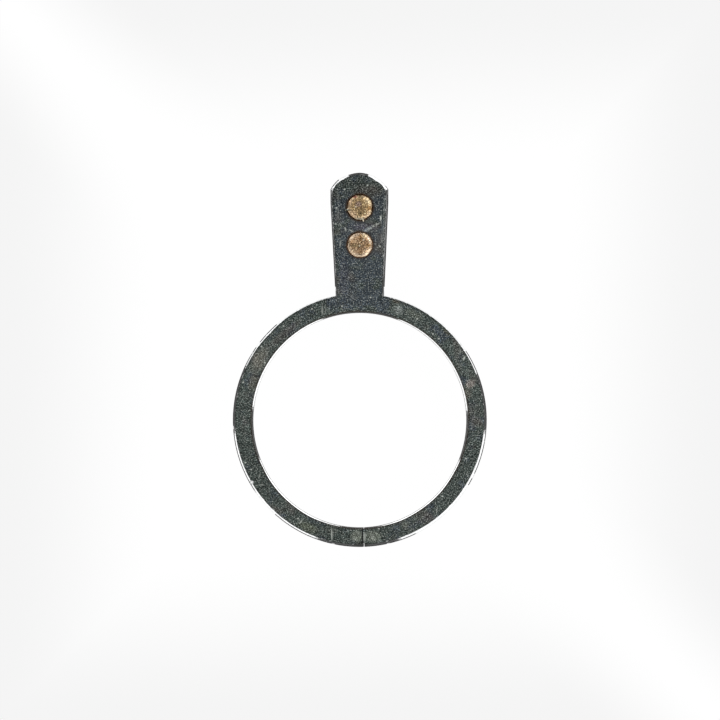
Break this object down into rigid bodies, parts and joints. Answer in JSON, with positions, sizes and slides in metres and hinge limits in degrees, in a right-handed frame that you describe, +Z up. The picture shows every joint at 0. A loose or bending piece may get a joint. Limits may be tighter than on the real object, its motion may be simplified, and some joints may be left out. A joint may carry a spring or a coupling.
{
  "type": "watch regulator",
  "caption": "Watch regulator index: a split spring ring with a bevelled arm that carries a riveted brass curb pin and a turning brass boot.",
  "frame": {"origin": "on the axis of the ring's bore, level with the underside of the plate", "axes": "+Z is up, out of the bevelled face; +Y runs from the bore's axis along the arm to its tip; the pins hang down along -Z"},
  "size_m": [0.004, 0.0059, 0.0008],
  "materials": {
    "plate_steel": "dark hardened steel with a fine matt grain on the face and polished bevels",
    "pin_brass": "turned brass, its riveted end hammered and slightly tarnished",
    "boot_brass": "turned and filed brass, its riveted end hammered rough and tarnished"
  },
  "bodies": {
    "index": {"regulator_plate": "plate_steel", "curb_pin": "pin_brass"},
    "boot": {"boot": "boot_brass"}
  },
  "joints": [
    {"name": "boot_turn", "type": "hinge", "parent": "index", "child": "boot", "pos_m": [0, 0.00335, 0], "axis": [0, 0, 1], "continuous": true}
  ]
}
